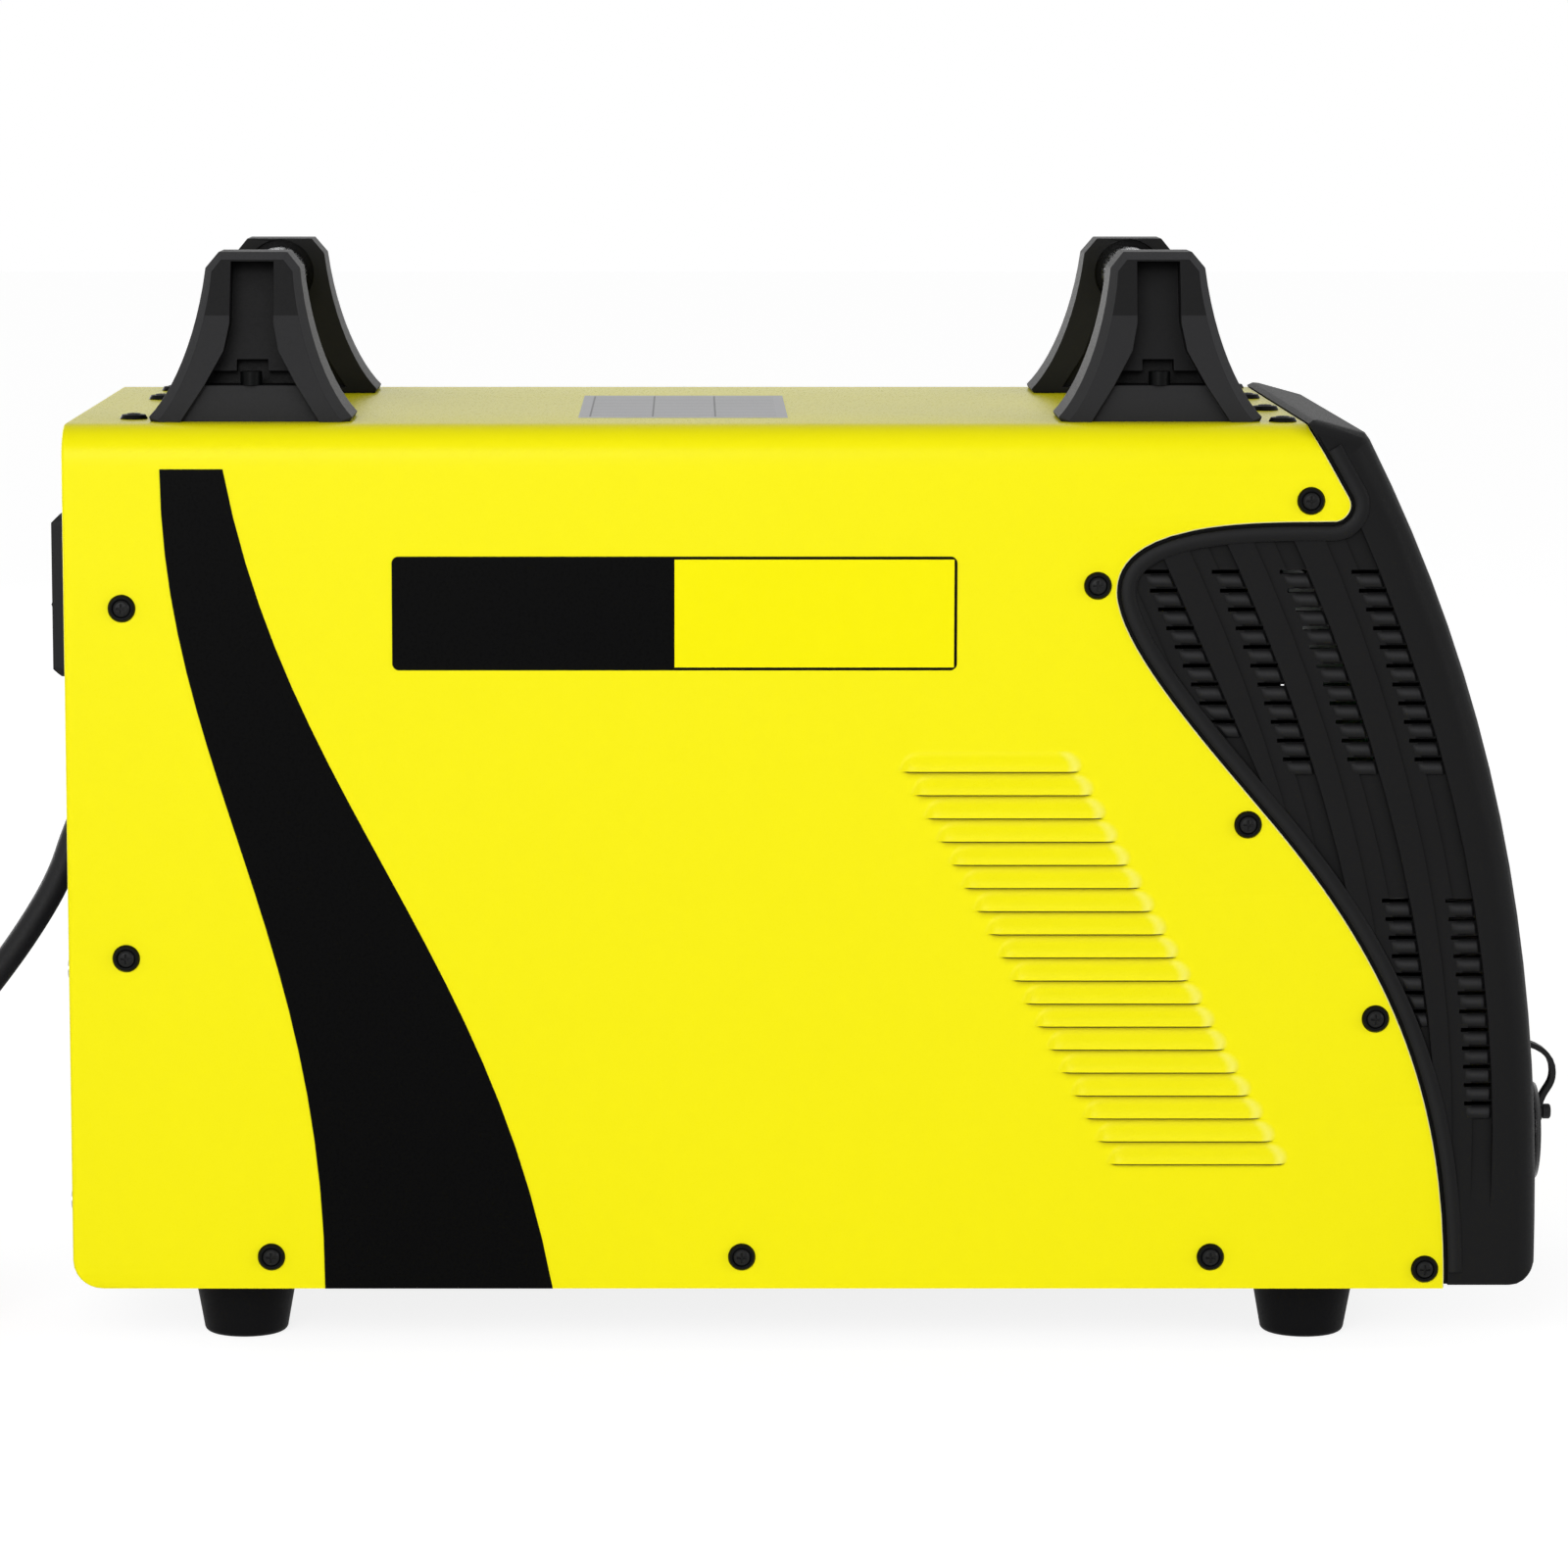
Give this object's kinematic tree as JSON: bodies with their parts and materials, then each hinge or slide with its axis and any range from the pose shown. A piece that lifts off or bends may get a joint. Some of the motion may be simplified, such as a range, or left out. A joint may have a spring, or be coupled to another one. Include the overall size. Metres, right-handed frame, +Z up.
{
  "type": "plasma cutter power source",
  "caption": "Inverter plasma cutter power source: folded sheet-steel case with pressed louvres, vented moulded front, tube carrying handles, rubber feet and a coiled supply lead.",
  "frame": {"origin": "on the floor under the middle of the machine without its supply lead", "axes": "+X to the front with the controls, +Y to the machine's left, +Z up"},
  "size_m": [1.0572, 0.306, 0.4858],
  "materials": {
    "yellow_paint": "gloss",
    "black_paint": "satin",
    "black_film": "satin film",
    "black_moulding": "fine grain",
    "grey_moulding": "fine grain",
    "black_gloss": "gloss",
    "pale_plastic": "satin",
    "red_plastic": "satin",
    "smoked_lens": "gloss",
    "lamp_lens": "gloss",
    "black_rubber": "matte",
    "tie_strap": "woven",
    "label_film": "satin film",
    "black_steel": "black oxide",
    "plated_zinc": "zinc plated",
    "bright_chrome": "polished",
    "bright_tube": "satin",
    "zinc_sheet": "galvanised",
    "aluminium": "extruded",
    "brass": "turned",
    "green_board": "lacquer",
    "blue_sleeve": "shrink sleeve",
    "ferrite": "ferrite",
    "copper_winding": "enamelled copper",
    "blue_hose": "satin"
  },
  "bodies": {
    "machine": {"cover": "yellow_paint", "side_stripes": "black_film", "name_plates": "black_film", "base_tray": "black_paint", "rear_panel": "black_paint", "front_bezel": "black_moulding", "front_panel": "black_paint", "control_fascia": "grey_moulding", "display_window": "smoked_lens", "toggle_bush": "bright_chrome", "indicator_lamps": "lamp_lens", "torch_connector": "black_moulding", "work_socket": "black_moulding", "control_socket": "plated_zinc", "handle_bracket_rear_right": "black_moulding", "handle_bracket_rear_left": "black_moulding", "handle_bracket_front_right": "black_moulding", "handle_bracket_front_left": "black_moulding", "handle_bars": "bright_tube", "bracket_screws": "black_steel", "fan_screws": "plated_zinc", "feet": "black_rubber", "foot_screws": "plated_zinc", "side_screws": "black_steel", "top_screws": "black_steel", "cup_washers": "black_gloss", "rating_label": "label_film", "switch_hood": "black_moulding", "breaker_body": "pale_plastic", "fan_frames": "black_moulding", "fan_guards": "plated_zinc", "cord_boot": "black_rubber", "air_inlet": "brass", "earth_stud": "brass", "cord_run": "black_rubber", "cord_coil": "black_rubber", "supply_plug": "red_plastic", "coil_tie": "tie_strap", "wind_tunnel": "zinc_sheet", "heat_sinks": "aluminium", "power_modules": "black_gloss", "input_rectifier": "black_gloss", "power_board": "green_board", "capacitors": "blue_sleeve", "main_transformer": "ferrite", "output_inductor": "copper_winding", "hf_coil": "copper_winding", "control_board": "green_board", "display_board": "green_board", "solenoid_valve": "black_gloss", "air_hose": "blue_hose"},
    "power_lever": {"power_lever": "black_gloss"},
    "current_knob": {"current_knob": "black_gloss"},
    "post_flow_knob": {"post_flow_knob": "black_gloss"},
    "mode_toggle": {"mode_toggle": "bright_chrome"},
    "air_test_button": {"air_test_button": "red_plastic"},
    "dust_cap": {"dust_cap": "black_rubber", "cap_strap": "black_rubber"},
    "fan_rotor_right": {"fan_rotor_right": "black_moulding"},
    "fan_rotor_left": {"fan_rotor_left": "black_moulding"}
  },
  "joints": [
    {"name": "power_switch_throw", "type": "hinge", "parent": "machine", "child": "power_lever", "pos_m": [-0.3274, 0, 0.3272], "axis": [0, 1, 0], "range_deg": [0, 40]},
    {"name": "current_turn", "type": "hinge", "parent": "machine", "child": "current_knob", "pos_m": [0.27469, -0.062, 0.25393], "axis": [0.9575, 0, 0.2885], "range_deg": [-140, 140]},
    {"name": "post_flow_turn", "type": "hinge", "parent": "machine", "child": "post_flow_knob", "pos_m": [0.27469, 0.004, 0.25393], "axis": [0.9575, 0, 0.2885], "range_deg": [-140, 140]},
    {"name": "mode_throw", "type": "hinge", "parent": "machine", "child": "mode_toggle", "pos_m": [0.27373, 0.058, 0.25364], "axis": [0, -1, 0], "range_deg": [0, 24]},
    {"name": "air_test_press", "type": "slide", "parent": "machine", "child": "air_test_button", "axis": [-0.9575, 0, -0.2885], "range_m": [0, 0.003], "stiffness_N_per_m": 400, "springref_m": -0.001},
    {"name": "cap_pull", "type": "slide", "parent": "machine", "child": "dust_cap", "axis": [1, 0, 0], "range_m": [0, 0.022]},
    {"name": "fan_right_spin", "type": "hinge", "parent": "machine", "child": "fan_rotor_right", "pos_m": [-0.3234, -0.065, 0.1148], "axis": [1, 0, 0], "continuous": true},
    {"name": "fan_left_spin", "type": "hinge", "parent": "machine", "child": "fan_rotor_left", "pos_m": [-0.3234, 0.065, 0.1148], "axis": [1, 0, 0], "continuous": true}
  ]
}
